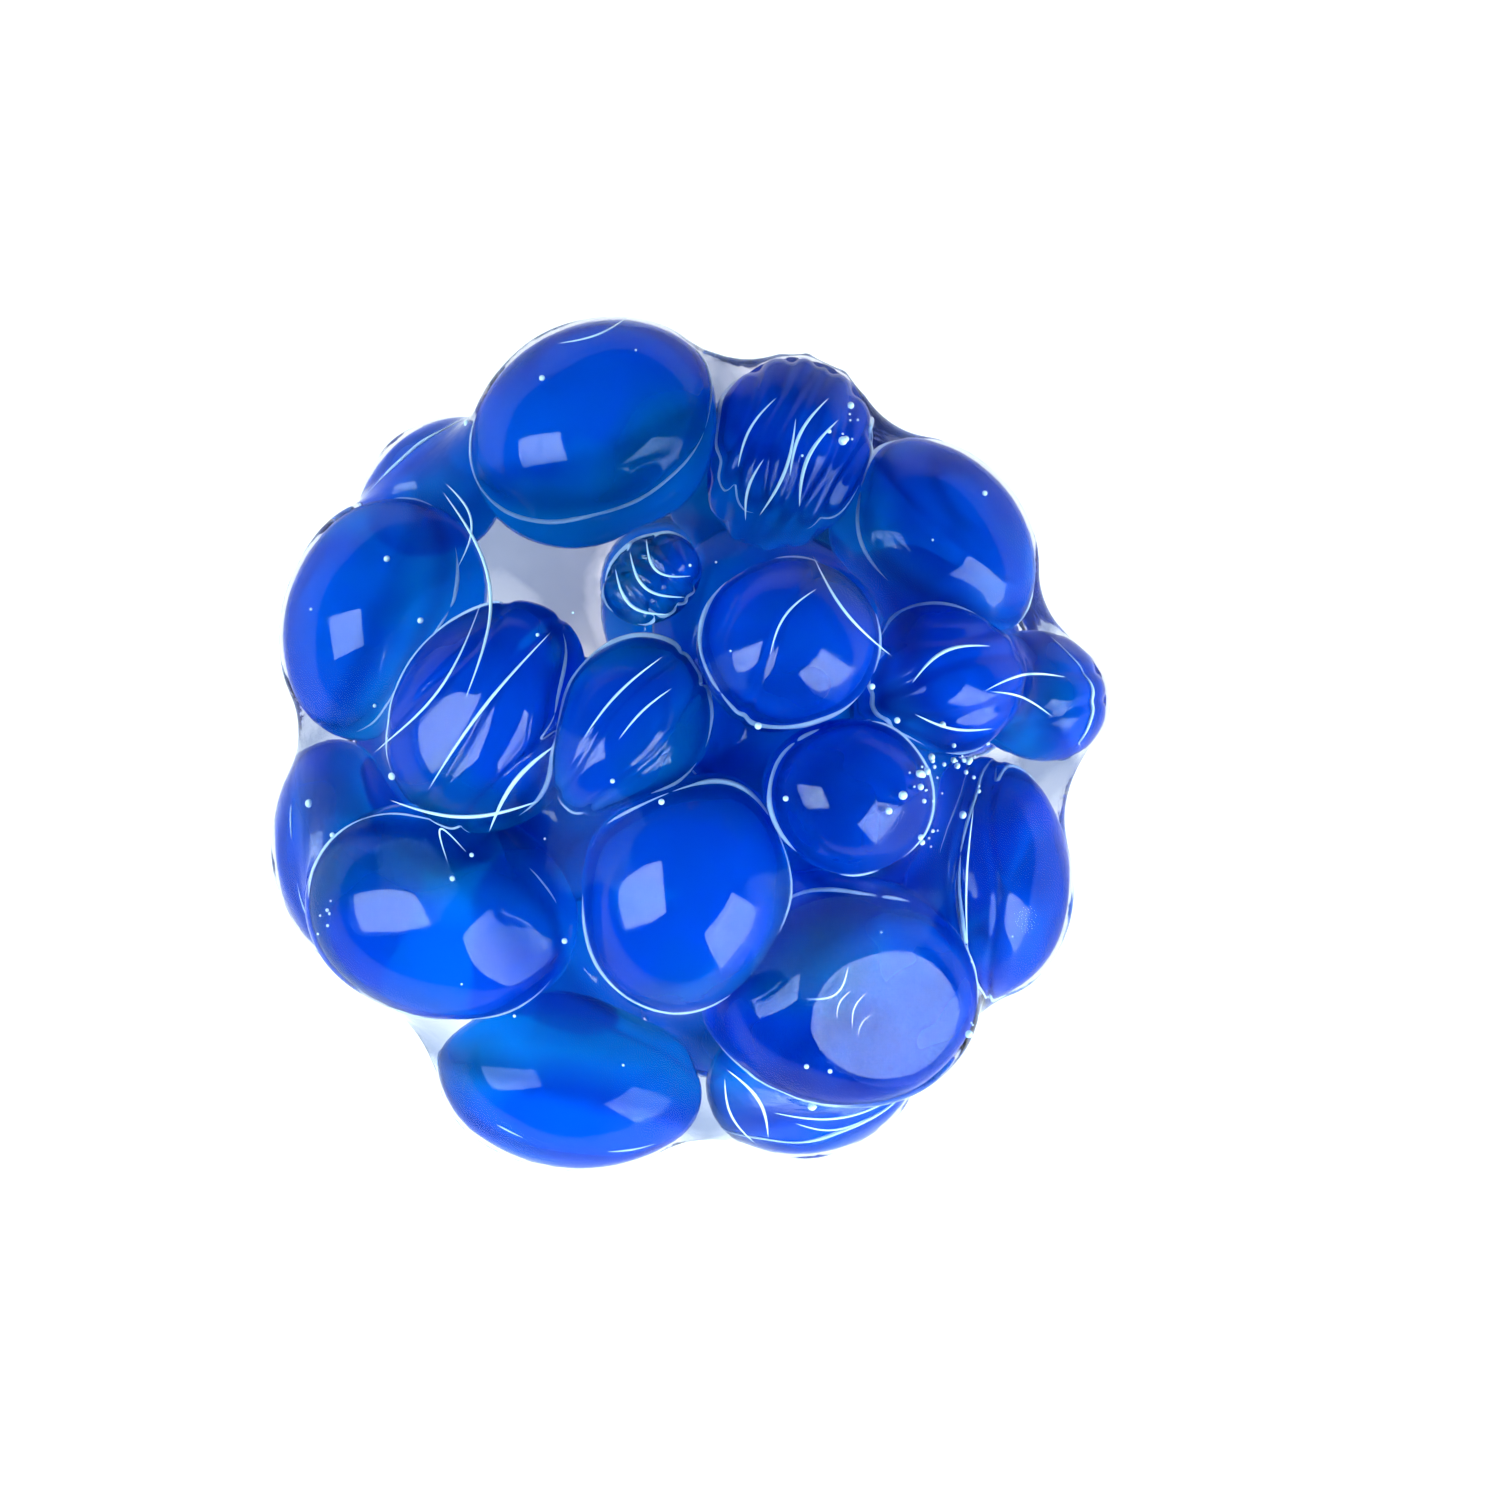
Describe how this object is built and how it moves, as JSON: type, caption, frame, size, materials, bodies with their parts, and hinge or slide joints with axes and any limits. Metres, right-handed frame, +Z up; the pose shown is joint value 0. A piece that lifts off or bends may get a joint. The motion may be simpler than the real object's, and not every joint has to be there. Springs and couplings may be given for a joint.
{
  "type": "stress ball",
  "caption": "Bead-filled squeeze ball: soft blue gel beads packed in a clear stretch skin with a fill plug; it flattens when pressed and springs back.",
  "frame": {"origin": "on the surface the ball rests on, under the middle of its outline", "axes": "+Z up through the crown of beads, +X to the right and +Y to the top of the ball as it is seen from above"},
  "size_m": [0.0616, 0.062, 0.0517],
  "materials": {
    "skin": "clear glossy stretch rubber",
    "plug": "clear satin rubber",
    "gel_bead": "translucent wet gel"
  },
  "bodies": {
    "resting_base": {"skin": "skin", "fill_plug": "plug", "base_bead_1": "gel_bead", "base_bead_2": "gel_bead", "base_bead_3": "gel_bead"},
    "lower_layer": {"lower_bead_1": "gel_bead", "lower_bead_2": "gel_bead", "lower_bead_3": "gel_bead", "lower_bead_4": "gel_bead", "lower_bead_5": "gel_bead", "lower_bead_6": "gel_bead"},
    "middle_layer": {"middle_bead_1": "gel_bead", "middle_bead_2": "gel_bead", "middle_bead_3": "gel_bead", "middle_bead_4": "gel_bead", "middle_bead_5": "gel_bead", "middle_bead_6": "gel_bead", "middle_bead_7": "gel_bead", "middle_bead_8": "gel_bead", "middle_bead_9": "gel_bead", "middle_bead_10": "gel_bead", "middle_bead_11": "gel_bead", "middle_bead_12": "gel_bead"},
    "upper_layer": {"upper_bead_1": "gel_bead", "upper_bead_2": "gel_bead", "upper_bead_3": "gel_bead", "upper_bead_4": "gel_bead", "upper_bead_5": "gel_bead"},
    "crown_layer": {"crown_bead_1": "gel_bead", "crown_bead_2": "gel_bead", "crown_bead_3": "gel_bead", "crown_bead_4": "gel_bead", "crown_bead_5": "gel_bead", "crown_bead_6": "gel_bead"}
  },
  "joints": [
    {"name": "squeeze", "type": "slide", "parent": "resting_base", "child": "crown_layer", "axis": [0, 0, -1], "range_m": [0, 0.011], "stiffness_N_per_m": 1400, "springref_m": -0.001, "deforming": ["skin", "base_bead_1", "base_bead_2", "base_bead_3", "crown_bead_1", "crown_bead_2", "crown_bead_3", "crown_bead_4", "crown_bead_5", "crown_bead_6"]},
    {"name": "upper_squeeze", "type": "slide", "parent": "resting_base", "child": "upper_layer", "axis": [0, 0, -1], "range_m": [0, 0.00842], "deforming": ["upper_bead_1", "upper_bead_2", "upper_bead_3", "upper_bead_4", "upper_bead_5"]},
    {"name": "middle_squeeze", "type": "slide", "parent": "resting_base", "child": "middle_layer", "axis": [0, 0, -1], "range_m": [0, 0.00617], "deforming": ["middle_bead_1", "middle_bead_2", "middle_bead_3", "middle_bead_4", "middle_bead_5", "middle_bead_6", "middle_bead_7", "middle_bead_8", "middle_bead_9", "middle_bead_10", "middle_bead_11", "middle_bead_12"]},
    {"name": "lower_squeeze", "type": "slide", "parent": "resting_base", "child": "lower_layer", "axis": [0, 0, -1], "range_m": [0, 0.00337], "deforming": ["lower_bead_1", "lower_bead_2", "lower_bead_3", "lower_bead_4", "lower_bead_5", "lower_bead_6"]}
  ],
  "couplings": [
    {"joint": "upper_squeeze", "follows": "squeeze", "ratio": 0.75},
    {"joint": "middle_squeeze", "follows": "squeeze", "ratio": 0.55},
    {"joint": "lower_squeeze", "follows": "squeeze", "ratio": 0.3}
  ]
}
